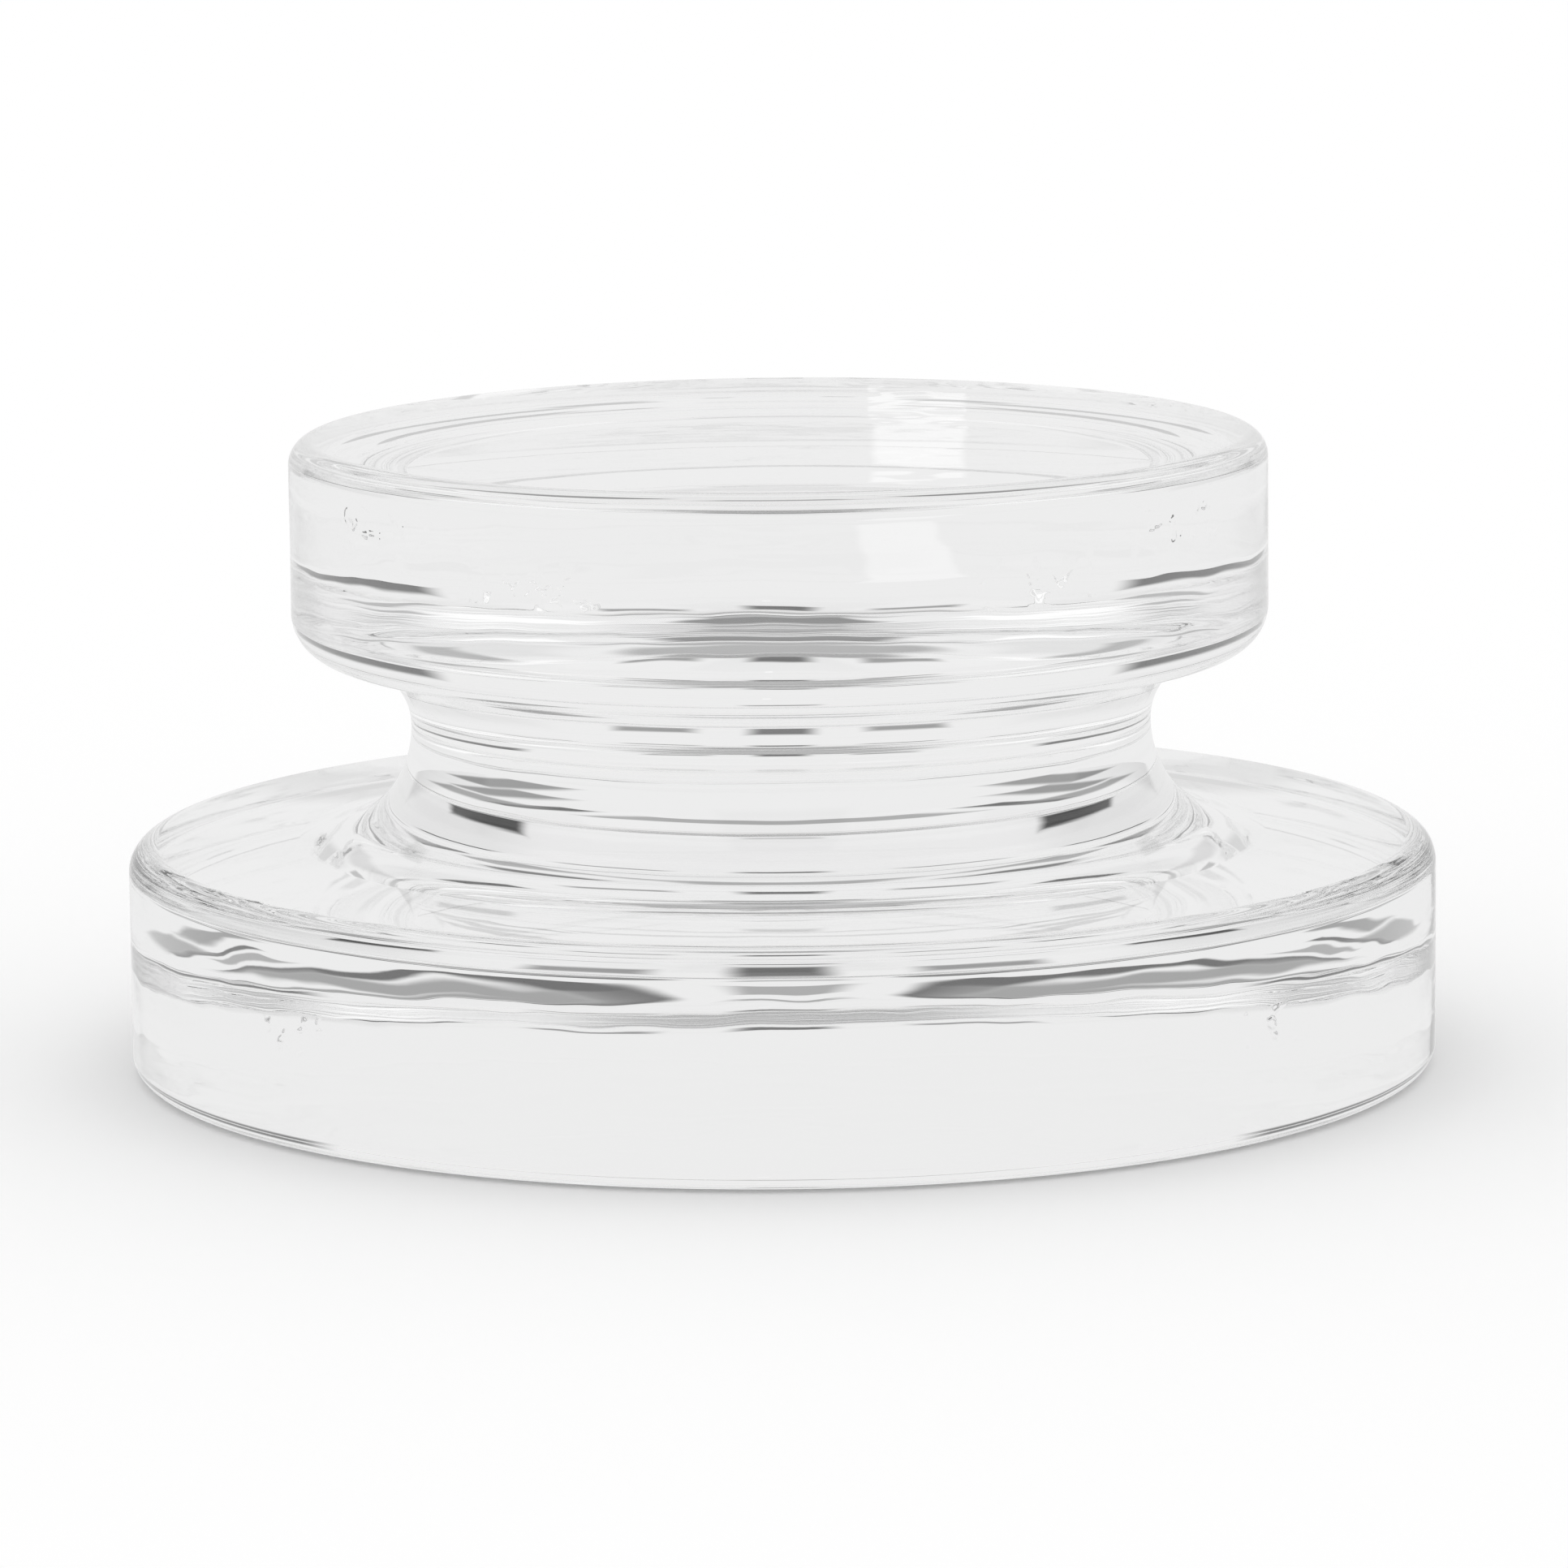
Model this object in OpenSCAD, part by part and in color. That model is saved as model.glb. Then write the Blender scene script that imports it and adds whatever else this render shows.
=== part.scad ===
// Low pillar candle holder, pressed in one pour of clear glass.
// A thick round plate carries the candle. A drawn-in waist joins it to a wider and heavier foot,
// and a cove above and below the waist lets the glass flow without a corner.
// The origin is at the middle of the resting face, and +Z points up.

/* [Overall] */
// Height from the table to the candle's seat
height = 65; // [60:0.1:120]

/* [Plate] */
// Diameter of the plate round the candle's seat
plate_d = 100.6; // [90:0.2:130]
// Thickness of the plate at its wall
plate_t = 22.3; // [12:0.1:27]
// Radius of the fire-polished edge round the candle's seat
seat_edge_r = 2.6; // [0.5:0.1:5]
// Radius of the fuller edge under the plate
under_edge_r = 4.6; // [1:0.1:7]

/* [Waist] */
// Diameter of the waist at its narrowest
waist_d = 76.4; // [40:0.2:84]
// Radius of the cove that carries the waist out to the plate
upper_cove_r = 7.4; // [2:0.1:12]
// Radius of the cove that carries the waist down to the foot
lower_cove_r = 11.5; // [2:0.1:16]

/* [Foot] */
// Diameter of the foot
foot_d = 135; // [115:0.5:180]
// Thickness of the foot at its wall
foot_t = 23.6; // [12:0.1:27]
// Radius of the fire-polished edge round the foot's upper face
shoulder_edge_r = 3; // [0.5:0.1:6]
// Radius of the edge round the resting face
resting_edge_r = 2; // [0.5:0.1:5]

/* [Hidden] */
$fn = 180;

glass_colour = [0.9, 0.93, 0.93, 0.5];

foot_r = foot_d / 2;
plate_r = plate_d / 2;
waist_r = waist_d / 2;

// Open height between the foot's upper face and the plate's underside
waist_h = height - foot_t - plate_t;

// Depth by which the waist is sunk into the plate and the foot, so that the three are one body
sink = foot_t / 4;

// A cove keeps its own radius where the waist's height and the overhang above it leave room.
cove_room_share = min(1, waist_h / (upper_cove_r + lower_cove_r));
upper_cove = min(upper_cove_r * cove_room_share, plate_r - under_edge_r - waist_r);
lower_cove = min(lower_cove_r * cove_room_share, foot_r - shoulder_edge_r - waist_r);

// Half the section of a thick disc with two rounded edges, standing on y = 0
module disc_section(outer_r, thickness, lower_edge_r, upper_edge_r) {
    polygon([
        [0, 0],
        [outer_r - lower_edge_r, 0],
        [outer_r, lower_edge_r],
        [outer_r, thickness - upper_edge_r],
        [outer_r - upper_edge_r, thickness],
        [0, thickness],
    ]);
    translate([outer_r - lower_edge_r, lower_edge_r])
        circle(r = lower_edge_r);
    translate([outer_r - upper_edge_r, thickness - upper_edge_r])
        circle(r = upper_edge_r);
}

// Half the section of a cove that rises from a face at y = 0 to the waist
module cove_section(cove_r) {
    difference() {
        translate([0, -sink])
            square([waist_r + cove_r, cove_r + sink]);
        translate([waist_r + cove_r, cove_r])
            circle(r = cove_r);
    }
}

module foot_section() {
    disc_section(foot_r, foot_t, resting_edge_r, shoulder_edge_r);
}

module waist_section() {
    translate([0, foot_t]) {
        translate([0, -sink])
            square([waist_r, waist_h + 2 * sink]);
        cove_section(lower_cove);
        translate([0, waist_h])
            mirror([0, 1])
                cove_section(upper_cove);
    }
}

module plate_section() {
    translate([0, height - plate_t])
        disc_section(plate_r, plate_t, under_edge_r, seat_edge_r);
}

module glass_holder() {
    color(glass_colour)
        rotate_extrude() {
            foot_section();
            waist_section();
            plate_section();
        }
}

glass_holder();
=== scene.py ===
import math

import bpy
from mathutils import Matrix, Vector


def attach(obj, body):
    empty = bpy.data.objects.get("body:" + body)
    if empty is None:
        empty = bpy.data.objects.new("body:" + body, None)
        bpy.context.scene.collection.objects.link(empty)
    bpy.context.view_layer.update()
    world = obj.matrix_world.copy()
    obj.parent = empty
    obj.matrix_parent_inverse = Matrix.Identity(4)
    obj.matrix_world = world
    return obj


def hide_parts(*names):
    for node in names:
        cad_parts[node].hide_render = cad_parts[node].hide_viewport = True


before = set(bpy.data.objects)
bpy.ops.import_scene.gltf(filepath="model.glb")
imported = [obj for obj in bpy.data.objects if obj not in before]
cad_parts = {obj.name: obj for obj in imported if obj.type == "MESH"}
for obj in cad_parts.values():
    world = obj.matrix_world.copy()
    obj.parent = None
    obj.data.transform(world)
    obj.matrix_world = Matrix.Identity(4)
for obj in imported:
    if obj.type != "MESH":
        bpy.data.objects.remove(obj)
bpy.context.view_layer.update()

scene = bpy.context.scene
mm = 0.001


# One node with its settings, its inputs and any items that it needs first. An input is a plain value,
# a socket to link from, or a node, which stands for its first output.
def addNode(tree, kind, settings=None, inputs=None, items=()):
    node = tree.nodes.new(kind)
    for name, value in (settings or {}).items():
        setattr(node, name, value)
    for collection, arguments in items:
        getattr(node, collection).new(*arguments)
    for socket, value in (inputs or {}).items():
        if isinstance(value, bpy.types.Node):
            value = value.outputs[0]
        if isinstance(value, bpy.types.NodeSocket):
            tree.links.new(value, node.inputs[socket])
        else:
            node.inputs[socket].default_value = value
    return node


# sRGB hex to the linear colour that a shader takes
def hexColour(text):
    parts = [int(text[i:i + 2], 16) / 255 for i in (0, 2, 4)]
    linear = [c / 12.92 if c <= 0.04045 else ((c + 0.055) / 1.055) ** 2.4 for c in parts]
    return (*linear, 1.0)


# The photograph's view: a long lens, a little above the holder. The angles are in radians.
cameraSet = {
    "distance": 831.6 * mm,
    "height": 168.3 * mm,
    "lookDown": 0.1667,
    "turn": 0.0003,
    "roll": 0.0100,
    "lens": 187.4,    # mm
    "sensor": 36.0,   # mm
}


def makeCamera(settings):
    data = bpy.data.cameras.new("photoCamera")
    data.lens = settings["lens"]
    data.sensor_width = settings["sensor"]
    camera = bpy.data.objects.new("photoCamera", data)
    scene.collection.objects.link(camera)
    place = Matrix.Translation(Vector((0, -settings["distance"], settings["height"])))
    turn = Matrix.Rotation(-settings["turn"], 4, "Z")
    down = Matrix.Rotation(math.pi / 2 - settings["lookDown"], 4, "X")
    roll = Matrix.Rotation(-settings["roll"], 4, "Z")
    camera.matrix_world = place @ turn @ down @ roll
    scene.camera = camera


makeCamera(cameraSet)
print("camera set")


# The glass: its sizes as the solid has them, how finely it is cut, and the waves that the mould left
glassSet = {
    "height": 65.0 * mm,
    "plateRadius": 50.3 * mm,
    "plateThickness": 22.3 * mm,
    "seatEdge": 2.6 * mm,
    "underEdge": 4.6 * mm,
    "waistRadius": 38.2 * mm,
    "upperCove": 7.4 * mm,
    "lowerCove": 11.5 * mm,
    "footRadius": 67.5 * mm,
    "footThickness": 23.6 * mm,
    "shoulderEdge": 3.0 * mm,
    "restingEdge": 2.0 * mm,
    "turnSteps": 384,           # steps round the axis
    "arcSteps": 20,             # steps in each rounded edge and cove
    "straightSteps": 12,        # cuts in each straight wall and face
    "straightFrom": 1.2 * mm,   # a part of the section longer than this counts as straight
    "mergeWithin": 0.002 * mm,  # closes the seam and the poles
    "waveLength": 15.0 * mm,
    "waveDepth": 0.18 * mm,
    "waveDetail": 1.0,
    "waveSeed": 3.0,
    "flatWaveShare": 0.08,      # what is left of the waves on a level face
}


# Turns the holder's section round its axis. The section is a line through eight corners, and each of
# them but the two on the axis is rounded by its own radius.
def turnedGlassTree(sizes):
    tree = bpy.data.node_groups.new("turnedGlass", "GeometryNodeTree")
    tree.interface.new_socket("Geometry", in_out="OUTPUT", socket_type="NodeSocketGeometry")
    for name, value in sizes.items():
        kind = "NodeSocketInt" if isinstance(value, int) else "NodeSocketFloat"
        tree.interface.new_socket(name, in_out="INPUT", socket_type=kind)
    tree.interface.new_socket("glass", in_out="INPUT", socket_type="NodeSocketMaterial")
    given = addNode(tree, "NodeGroupInput").outputs
    number = addNode(tree, "GeometryNodeInputIndex")
    position = addNode(tree, "GeometryNodeInputPosition")
    normal = addNode(tree, "GeometryNodeInputNormal")

    plateUnder = addNode(tree, "ShaderNodeMath", {"operation": "SUBTRACT"}, {
        0: given["height"], 1: given["plateThickness"]})
    corners = [  # out from the axis, up, radius of the rounding
        (0.0, 0.0, 0.0),
        (given["footRadius"], 0.0, given["restingEdge"]),
        (given["footRadius"], given["footThickness"], given["shoulderEdge"]),
        (given["waistRadius"], given["footThickness"], given["lowerCove"]),
        (given["waistRadius"], plateUnder, given["upperCove"]),
        (given["plateRadius"], plateUnder, given["underEdge"]),
        (given["plateRadius"], given["height"], given["seatEdge"]),
        (0.0, given["height"], 0.0),
    ]
    places = {str(i): addNode(tree, "ShaderNodeCombineXYZ", inputs={"X": out, "Z": up})
              for i, (out, up, radius) in enumerate(corners)}
    radii = {str(i): radius for i, (out, up, radius) in enumerate(corners)}
    moreCorners = [("index_switch_items", ())] * (len(corners) - 2)  # a new switch has two
    cornerPlace = addNode(tree, "GeometryNodeIndexSwitch", {"data_type": "VECTOR"},
                          {"Index": number, **places}, moreCorners)
    cornerRadius = addNode(tree, "GeometryNodeIndexSwitch", {"data_type": "FLOAT"},
                           {"Index": number, **radii}, moreCorners)
    points = addNode(tree, "GeometryNodeMeshLine", inputs={"Count": len(corners)})
    placed = addNode(tree, "GeometryNodeSetPosition", inputs={"Geometry": points, "Position": cornerPlace})
    line = addNode(tree, "GeometryNodeMeshToCurve", inputs={"Mesh": placed})
    rounded = addNode(tree, "GeometryNodeFilletCurve", {"mode": "POLY"}, {
        "Curve": line, "Count": given["arcSteps"], "Radius": cornerRadius})

    # Each straight part is cut into steps.
    following = addNode(tree, "ShaderNodeMath", {"operation": "ADD"}, {0: number, 1: 1.0})
    nextPoint = addNode(tree, "GeometryNodeSampleIndex", {"data_type": "FLOAT_VECTOR"}, {
        "Geometry": rounded, "Value": position, "Index": following})
    gap = addNode(tree, "ShaderNodeVectorMath", {"operation": "DISTANCE"}, {0: position, 1: nextPoint})
    isStraight = addNode(tree, "ShaderNodeMath", {"operation": "GREATER_THAN"}, {
        0: gap.outputs["Value"], 1: given["straightFrom"]})
    cuts = addNode(tree, "ShaderNodeMath", {"operation": "MULTIPLY"}, {
        0: isStraight, 1: given["straightSteps"]})
    numbered = addNode(tree, "GeometryNodeCaptureAttribute", {"domain": "POINT"}, {
        "Geometry": rounded, "place": number}, [("capture_items", ("FLOAT", "place"))])
    cut = addNode(tree, "GeometryNodeSubdivideCurve", inputs={
        "Curve": numbered.outputs["Geometry"], "Cuts": cuts})

    # A cut's way along its part is eased, so that the cuts crowd to both ends and the roundings stay crisp.
    # The Mix node has a pair of inputs and an output for each kind of data: 4, 5 and 1 are its vectors.
    place = numbered.outputs["place"]
    before = addNode(tree, "ShaderNodeMath", {"operation": "FLOOR"}, {0: place})
    after = addNode(tree, "ShaderNodeMath", {"operation": "ADD"}, {0: before, 1: 1.0})
    start, end = [addNode(tree, "GeometryNodeSampleIndex", {"data_type": "FLOAT_VECTOR"}, {
        "Geometry": rounded, "Value": position, "Index": index}) for index in (before, after)]
    way = addNode(tree, "ShaderNodeMath", {"operation": "FRACT"}, {0: place})
    easedWay = addNode(tree, "ShaderNodeMapRange", {"interpolation_type": "SMOOTHERSTEP"}, {"Value": way})
    between = addNode(tree, "ShaderNodeMix", {"data_type": "VECTOR"}, {0: easedWay, 4: start, 5: end})
    section = addNode(tree, "GeometryNodeSetPosition", inputs={
        "Geometry": cut, "Position": between.outputs[1]})

    # A grid takes the section once for each step round the axis, and its seam and poles are merged.
    count = addNode(tree, "GeometryNodeAttributeDomainSize", {"component": "CURVE"}, {
        "Geometry": section}).outputs["Point Count"]
    rows = addNode(tree, "ShaderNodeMath", {"operation": "ADD"}, {0: given["turnSteps"], 1: 1.0})
    grid = addNode(tree, "GeometryNodeMeshGrid", inputs={"Vertices X": rows, "Vertices Y": count})
    step = addNode(tree, "FunctionNodeIntegerMath", {"operation": "DIVIDE_FLOOR"}, {0: number, 1: count})
    along = addNode(tree, "FunctionNodeIntegerMath", {"operation": "MODULO"}, {0: number, 1: count})
    sectionPoint = addNode(tree, "GeometryNodeSampleIndex", {"data_type": "FLOAT_VECTOR"}, {
        "Geometry": section, "Value": position, "Index": along})
    turnShare = addNode(tree, "ShaderNodeMath", {"operation": "DIVIDE"}, {0: step, 1: given["turnSteps"]})
    angle = addNode(tree, "ShaderNodeMath", {"operation": "MULTIPLY"}, {0: turnShare, 1: math.tau})
    turned = addNode(tree, "ShaderNodeVectorRotate", {"rotation_type": "Z_AXIS"}, {
        "Vector": sectionPoint, "Angle": angle})
    wrapped = addNode(tree, "GeometryNodeSetPosition", inputs={"Geometry": grid, "Position": turned})
    closed = addNode(tree, "GeometryNodeMergeByDistance", inputs={
        "Geometry": wrapped, "Distance": given["mergeWithin"]})

    # The waves only sink into the glass. They fade out at the resting face and are slight on level faces.
    fineness = addNode(tree, "ShaderNodeMath", {"operation": "DIVIDE"}, {0: 1.0, 1: given["waveLength"]})
    noise = addNode(tree, "ShaderNodeTexNoise", {"noise_dimensions": "4D"}, {
        "Vector": position, "W": given["waveSeed"], "Scale": fineness, "Detail": given["waveDetail"]})
    height = addNode(tree, "ShaderNodeSeparateXYZ", inputs={0: position}).outputs["Z"]
    fade = addNode(tree, "ShaderNodeMapRange", inputs={"Value": height, "From Max": given["restingEdge"]})
    facing = addNode(tree, "ShaderNodeSeparateXYZ", inputs={0: normal}).outputs["Z"]
    level = addNode(tree, "ShaderNodeMath", {"operation": "ABSOLUTE"}, {0: facing})
    wall = addNode(tree, "ShaderNodeMapRange", inputs={
        "Value": level, "To Min": 1.0, "To Max": given["flatWaveShare"]})
    inward = addNode(tree, "ShaderNodeMath", {"operation": "MULTIPLY"}, {0: given["waveDepth"], 1: -1.0})
    depth = fade
    for factor in (wall, noise, inward):
        depth = addNode(tree, "ShaderNodeMath", {"operation": "MULTIPLY"}, {0: depth, 1: factor})
    sink = addNode(tree, "ShaderNodeVectorMath", {"operation": "SCALE"}, {0: normal, "Scale": depth})
    waved = addNode(tree, "GeometryNodeSetPosition", inputs={"Geometry": closed, "Offset": sink})
    smooth = addNode(tree, "GeometryNodeSetShadeSmooth", inputs={"Geometry": waved})
    real = addNode(tree, "GeometryNodeRealizeInstances", inputs={"Geometry": smooth})
    painted = addNode(tree, "GeometryNodeSetMaterial", inputs={"Geometry": real, "Material": given["glass"]})
    addNode(tree, "NodeGroupOutput", inputs={"Geometry": painted})
    return tree


# A named material with an empty tree, and the Object coordinates that its patterns are laid out by
def newMaterial(name):
    material = bpy.data.materials.new(name)
    material.use_nodes = True
    tree = material.node_tree
    tree.nodes.clear()
    place = addNode(tree, "ShaderNodeTexCoord").outputs["Object"]
    return material, tree, place


# How much of a patch lies at a point, from two sockets that say where the point is: across and up. It
# is whole inside and fades over its soft rim. Unless one-sided, it also lies on the other side.
def patchShare(tree, across, up, patch):
    side = across
    if not patch.get("oneSided"):
        side = addNode(tree, "ShaderNodeMath", {"operation": "ABSOLUTE"}, {0: across})
    shares = []
    for value, middle, half in zip((side, up), patch["middle"], patch["half"]):
        offset = addNode(tree, "ShaderNodeMath", {"operation": "SUBTRACT"}, {0: value, 1: middle})
        distance = addNode(tree, "ShaderNodeMath", {"operation": "ABSOLUTE"}, {0: offset})
        shares.append(addNode(tree, "ShaderNodeMapRange", {"interpolation_type": "SMOOTHSTEP"}, {
            "Value": distance, "From Min": half - patch["soft"], "From Max": half,
            "To Min": 1.0, "To Max": 0.0}))
    return addNode(tree, "ShaderNodeMath", {"operation": "MINIMUM"}, {0: shares[0], 1: shares[1]})


# Soda-lime glass, pressed in a mould and fire-polished: it is clear and all but colourless, bends what
# is behind it, and its skin keeps faint ripples and a few chill marks from the cold mould.
glassLook = {
    "tint": "FFFFFF",
    "ior": 1.52,
    "darkening": 0.2,            # about the share of light that a metre of the glass takes
    "rippleLength": 9.0 * mm,    # round the holder
    "rippleHeight": 3.0 * mm,    # up its walls
    "rippleDepth": 0.017 * mm,
    "rippleDetail": 1.0,
    "chillSize": 2.2 * mm,
    "chillDepth": 0.10 * mm,
    "chillDetail": 1.5,
    "chillStarts": 0.52,         # level of the noise at which a mark begins
    "chillFull": 0.68,           # level at which it has its whole depth
    # middle and half size, in degrees round from the front to both sides and in mm above the table
    "chillGroups": [
        {"middle": (52.0, 59.5), "half": (9.0, 3.4), "soft": 3.0},
        {"middle": (29.0, 55.5), "half": (9.0, 2.6), "soft": 2.5},
        {"middle": (45.5, 12.0), "half": (4.0, 2.4), "soft": 2.0},
        {"middle": (132.0, 54.0), "half": (14.0, 4.0), "soft": 3.0},
    ],
}


def pressedClearGlass(settings):
    material, tree, place = newMaterial("pressedClearGlass")
    across, up = 1 / settings["rippleLength"], 1 / settings["rippleHeight"]
    stretched = addNode(tree, "ShaderNodeVectorMath", {"operation": "MULTIPLY"}, {
        0: place, 1: (across, across, up)})
    ripple = addNode(tree, "ShaderNodeTexNoise", inputs={
        "Vector": stretched, "Scale": 1.0, "Detail": settings["rippleDetail"]})
    rough = addNode(tree, "ShaderNodeTexNoise", inputs={
        "Vector": place, "Scale": 1 / settings["chillSize"], "Detail": settings["chillDetail"]})

    # The marks are placed in mm, with y counted towards the camera, so that the front is at 0 degrees.
    inMm = addNode(tree, "ShaderNodeVectorMath", {"operation": "MULTIPLY"}, {
        0: place, 1: (1 / mm, -1 / mm, 1 / mm)})
    x, y, z = addNode(tree, "ShaderNodeSeparateXYZ", inputs={0: inMm}).outputs
    angle = addNode(tree, "ShaderNodeMath", {"operation": "ARCTAN2"}, {0: x, 1: y})
    azimuth = addNode(tree, "ShaderNodeMath", {"operation": "DEGREES"}, {0: angle})
    group = 0.0
    for patch in settings["chillGroups"]:
        group = addNode(tree, "ShaderNodeMath", {"operation": "MAXIMUM"}, {
            0: group, 1: patchShare(tree, azimuth, z, patch)})
    chill = addNode(tree, "ShaderNodeMapRange", {"interpolation_type": "SMOOTHSTEP"}, {
        "Value": rough, "From Min": settings["chillStarts"], "From Max": settings["chillFull"]})
    mark = addNode(tree, "ShaderNodeMath", {"operation": "MULTIPLY"}, {0: chill, 1: group})
    sunk = addNode(tree, "ShaderNodeMath", {"operation": "MULTIPLY"}, {
        0: mark, 1: -settings["chillDepth"] / mm})
    relief = addNode(tree, "ShaderNodeMath", {"operation": "MULTIPLY_ADD"}, {
        0: ripple, 1: settings["rippleDepth"] / mm, 2: sunk})
    bump = addNode(tree, "ShaderNodeBump", inputs={"Strength": 1.0, "Distance": mm, "Height": relief})

    skin = addNode(tree, "ShaderNodeBsdfPrincipled", inputs={
        "Base Color": hexColour(settings["tint"]), "Roughness": 0.0, "IOR": settings["ior"],
        "Transmission Weight": 1.0, "Normal": bump})
    body = addNode(tree, "ShaderNodeVolumeAbsorption", inputs={
        "Color": hexColour("000000"), "Density": settings["darkening"]})
    addNode(tree, "ShaderNodeOutputMaterial", inputs={"Surface": skin, "Volume": body})
    return material


# Runs a tree on an empty mesh with its inputs set, and leaves the result as a plain mesh object
def objectFromTree(name, tree, values):
    piece = bpy.data.objects.new(name, bpy.data.meshes.new(name))
    scene.collection.objects.link(piece)
    modifier = piece.modifiers.new(name, "NODES")
    modifier.node_group = tree
    for item in tree.interface.items_tree:
        if item.in_out == "INPUT" and item.name in values:
            modifier[item.identifier] = values[item.name]
    bpy.context.view_layer.update()
    made = piece.evaluated_get(bpy.context.evaluated_depsgraph_get())
    mesh = bpy.data.meshes.new_from_object(made)
    piece.modifiers.remove(modifier)
    piece.data = mesh
    return piece


glassMaterial = pressedClearGlass(glassLook)
holder = objectFromTree("pressedHolder", turnedGlassTree(glassSet), dict(glassSet, glass=glassMaterial))
print("glass made:", len(holder.data.polygons), "faces")
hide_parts("glass_holder")
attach(holder, "root")


# A tone that starts plain and takes each patch in turn, so that later ones lie over earlier ones
def patchedTone(tree, across, up, patches, tone):
    for patch in patches:
        tone = addNode(tree, "ShaderNodeMix", {"data_type": "FLOAT"}, {
            "Factor": patchShare(tree, across, up, patch), "A": tone, "B": patch["tone"]})
    return tone


# The camera and plain light meet one shader, and light that has come through glass or off it the other
def splitByGlass(tree, plain, byGlass):
    path = addNode(tree, "ShaderNodeLightPath").outputs
    metGlass = addNode(tree, "ShaderNodeMath", {"operation": "MAXIMUM"}, {
        0: path["Is Glossy Ray"], 1: path["Is Transmission Ray"]})
    return addNode(tree, "ShaderNodeMixShader", inputs={0: metGlass, 1: plain, 2: byGlass})


# White paper sweep, matt: it stays pale and takes the holder's soft shadow. The glass shows it greyer,
# with painted shadow beside and behind the foot: darker strips that stand in for the holder's own cast
# shadow on the table, inferred from what the glass shows.
floorSet = {
    "half": 3.0,   # metres
    "gap": 0.2 * mm,
    "colour": "FFFFFF",
    "toneInGlass": 0.865,
    # painted shadow of the holder on the table, seen only through the glass: middle and half size, in mm
    # across and away from the camera
    "paintedShadows": [
        {"middle": (-56.0, 395.0), "half": (23.0, 45.0), "soft": 6.0, "tone": 0.93, "oneSided": True},
        {"middle": (48.0, 56.0), "half": (18.0, 18.0), "soft": 8.0, "tone": 0.58},
        {"middle": (0.0, 82.5), "half": (2.0, 3.4), "soft": 0.9, "tone": 0.4},
        {"middle": (4.3, 82.0), "half": (1.5, 6.5), "soft": 0.9, "tone": 0.12},
        {"middle": (10.0, 79.0), "half": (7.0, 5.0), "soft": 3.0, "tone": 0.35},
        {"middle": (13.5, 94.0), "half": (5.0, 11.0), "soft": 3.0, "tone": 0.3},
        {"middle": (24.0, 114.0), "half": (8.0, 17.0), "soft": 4.0, "tone": 0.3},
    ],
}


def makeFloor(settings):
    material, tree, place = newMaterial("mattWhitePaper")
    white = hexColour(settings["colour"])
    inMm = addNode(tree, "ShaderNodeVectorMath", {"operation": "SCALE"}, {0: place, "Scale": 1 / mm})
    x, y, z = addNode(tree, "ShaderNodeSeparateXYZ", inputs={0: inMm}).outputs
    # Painted shadow: the tone that the glass shows is darkened in strips beside and behind the foot, for the
    # holder's cast shadow on the table.
    tone = patchedTone(tree, x, y, settings["paintedShadows"], settings["toneInGlass"])
    paper = addNode(tree, "ShaderNodeBsdfDiffuse", inputs={"Color": white})
    shown = addNode(tree, "ShaderNodeEmission", inputs={"Color": white, "Strength": tone})
    addNode(tree, "ShaderNodeOutputMaterial", inputs={"Surface": splitByGlass(tree, paper, shown)})

    half = settings["half"]
    corners = [(-half, -half), (half, -half), (half, half), (-half, half)]
    mesh = bpy.data.meshes.new("floor")
    mesh.from_pydata([(x, y, -settings["gap"]) for x, y in corners], [], [(0, 1, 2, 3)])
    mesh.materials.append(material)
    floor = bpy.data.objects.new("floor", mesh)
    scene.collection.objects.link(floor)


makeFloor(floorSet)
print("floor made")


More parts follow.
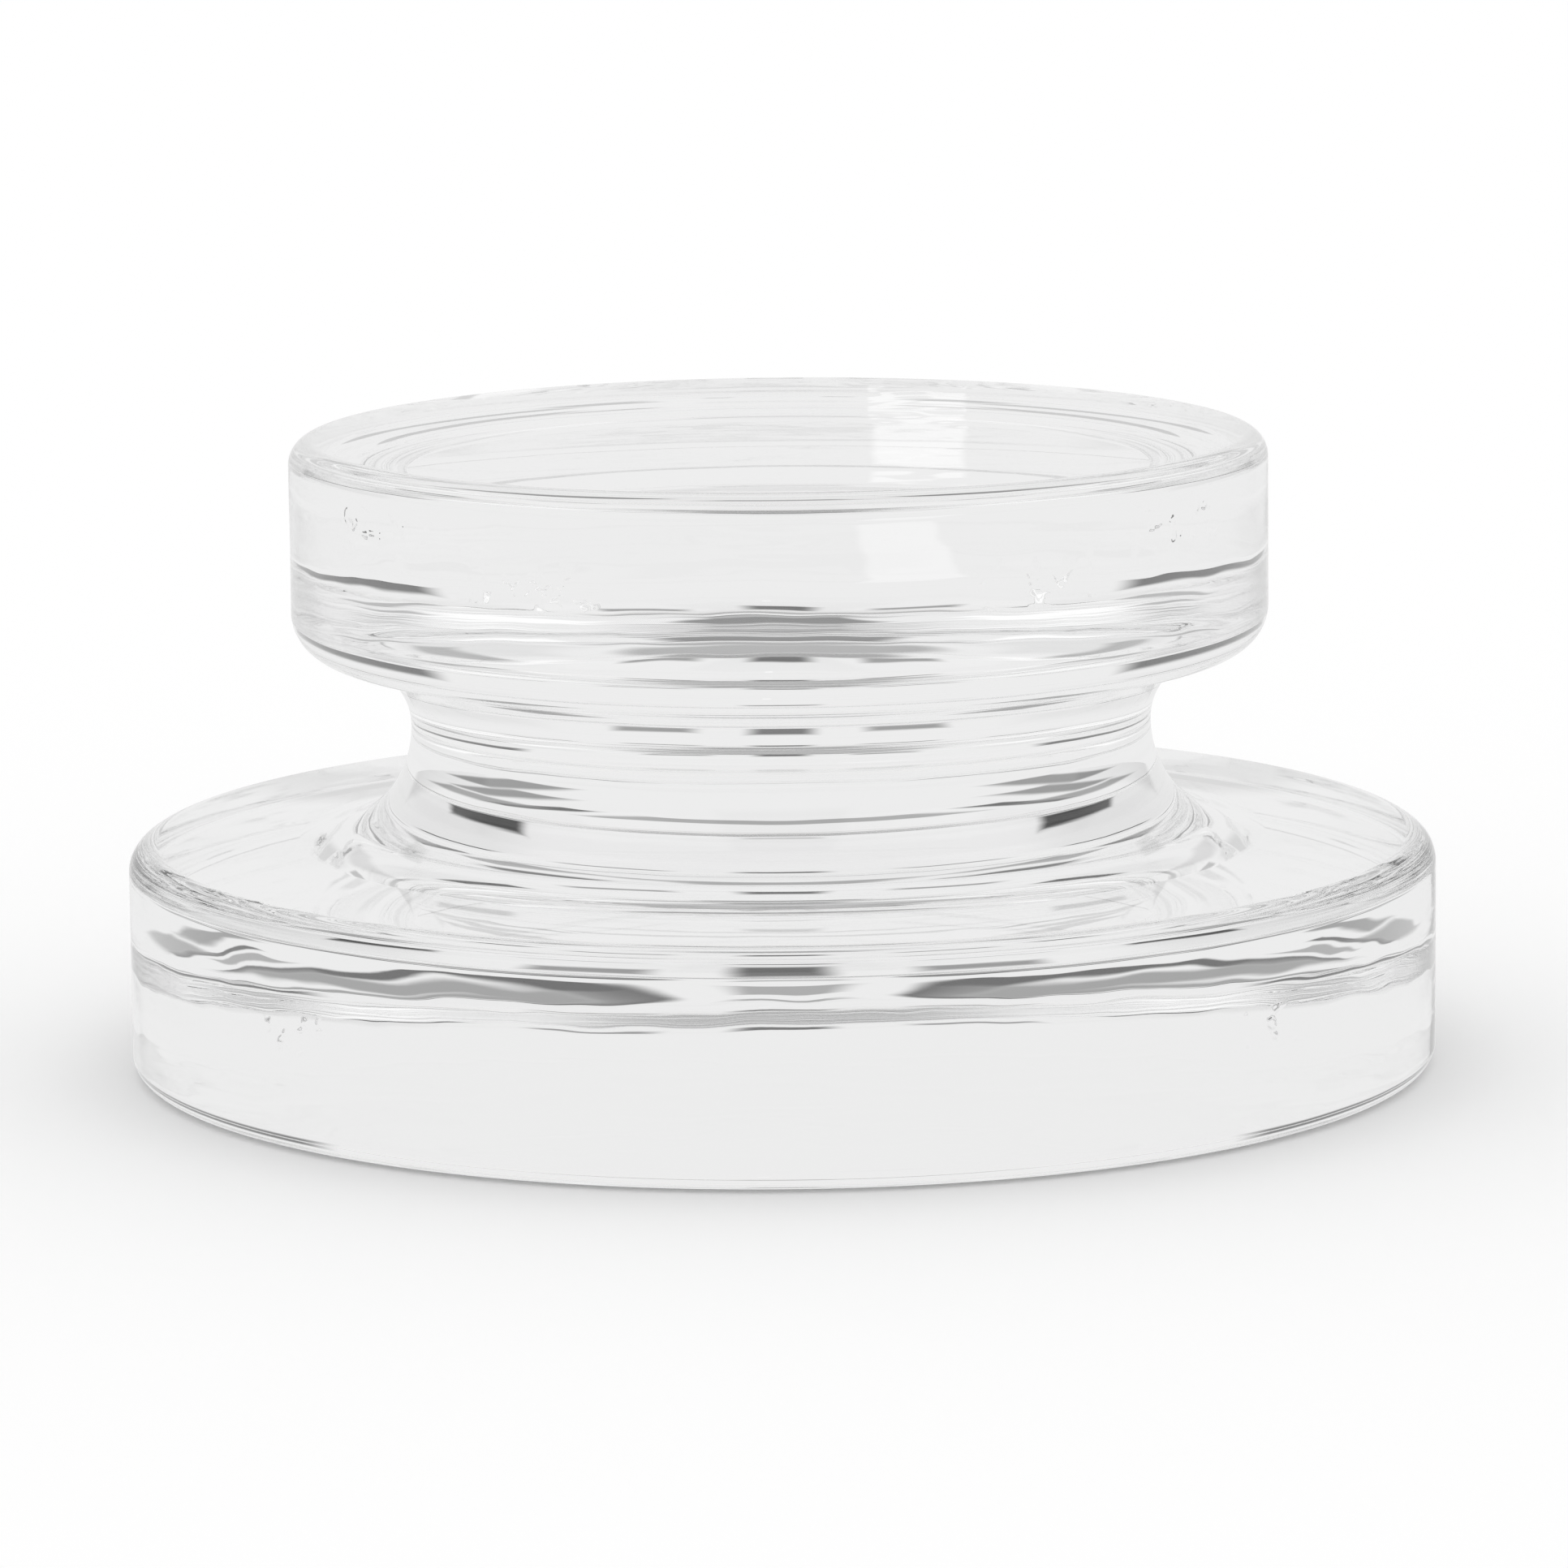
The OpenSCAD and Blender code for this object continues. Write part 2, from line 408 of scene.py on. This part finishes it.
# The studio, inferred from what the glass shows: each patch stands in for something pale or dark round
# the holder. Middles and half sizes are azimuth and elevation in degrees, and azimuth 0 lies beyond the
# holder, as the camera looks.
roomSet = {
    "light": 1.0,
    "colour": "FFFFFF",
    "toneInGlass": 0.865,
    "patches": {
        "shadedSides": {"middle": (60.0, 36.0), "half": (40.0, 24.0), "soft": 10.0, "tone": 0.78},
        "softBoxes": {"middle": (125.0, 35.0), "half": (20.0, 16.0), "soft": 4.0, "tone": 1.05},
        "darkOverhead": {"middle": (0.0, 90.0), "half": (190.0, 28.0), "soft": 8.0, "tone": 0.45},
        "darkBehindCamera": {"middle": (180.0, 43.0), "half": (24.0, 27.0), "soft": 7.0, "tone": 0.25},
        "darkSides": {"middle": (89.0, 29.0), "half": (27.0, 9.0), "soft": 6.0, "tone": 0.45},
        "darkLowSides": {"middle": (55.0, 0.0), "half": (25.0, 10.0), "soft": 5.0, "tone": 0.15},
        "darkBehind": {"middle": (0.0, 20.0), "half": (3.8, 6.0), "soft": 2.2, "tone": 0.15},
        "darkBesideIt": {"middle": (11.5, 19.2), "half": (5.0, 3.6), "soft": 2.4, "tone": 0.3},
        "sweepCorners": {"middle": (30.0, 30.0), "half": (7.0, 3.5), "soft": 2.0, "tone": 0.05},
        "windowPane": {"middle": (0.99, 7.2), "half": (0.36, 0.24), "soft": 0.08, "tone": 1.05,
                       "oneSided": True},
        "windowStripe": {"middle": (0.99, 6.88), "half": (0.36, 0.06), "soft": 0.03, "tone": 1.05,
                         "oneSided": True},
    },
}


def makeRoom(settings):
    world = bpy.data.worlds.new("room")
    scene.world = world
    world.use_nodes = True
    tree = world.node_tree
    tree.nodes.clear()
    direction = addNode(tree, "ShaderNodeTexCoord").outputs["Generated"]
    x, y, z = addNode(tree, "ShaderNodeSeparateXYZ", inputs={0: direction}).outputs
    turn = addNode(tree, "ShaderNodeMath", {"operation": "ARCTAN2"}, {0: x, 1: y})
    tilt = addNode(tree, "ShaderNodeMath", {"operation": "ARCSINE"}, {0: z})
    azimuth, elevation = [addNode(tree, "ShaderNodeMath", {"operation": "DEGREES"}, {0: angle})
                          for angle in (turn, tilt)]
    tone = patchedTone(tree, azimuth, elevation, settings["patches"].values(), settings["toneInGlass"])
    white = hexColour(settings["colour"])
    even, patched = [addNode(tree, "ShaderNodeBackground", inputs={"Color": white, "Strength": strength})
                     for strength in (settings["light"], tone)]
    addNode(tree, "ShaderNodeOutputWorld", inputs={"Surface": splitByGlass(tree, even, patched)})


makeRoom(roomSet)
print("room made")

# Light that is thrown about inside the glass needs long paths, or it ends as false black.
longestPath = 32
scene.cycles.max_bounces = longestPath
scene.cycles.glossy_bounces = longestPath
scene.cycles.transmission_bounces = longestPath
scene.view_settings.view_transform = "Standard"
print("light paths and view set")
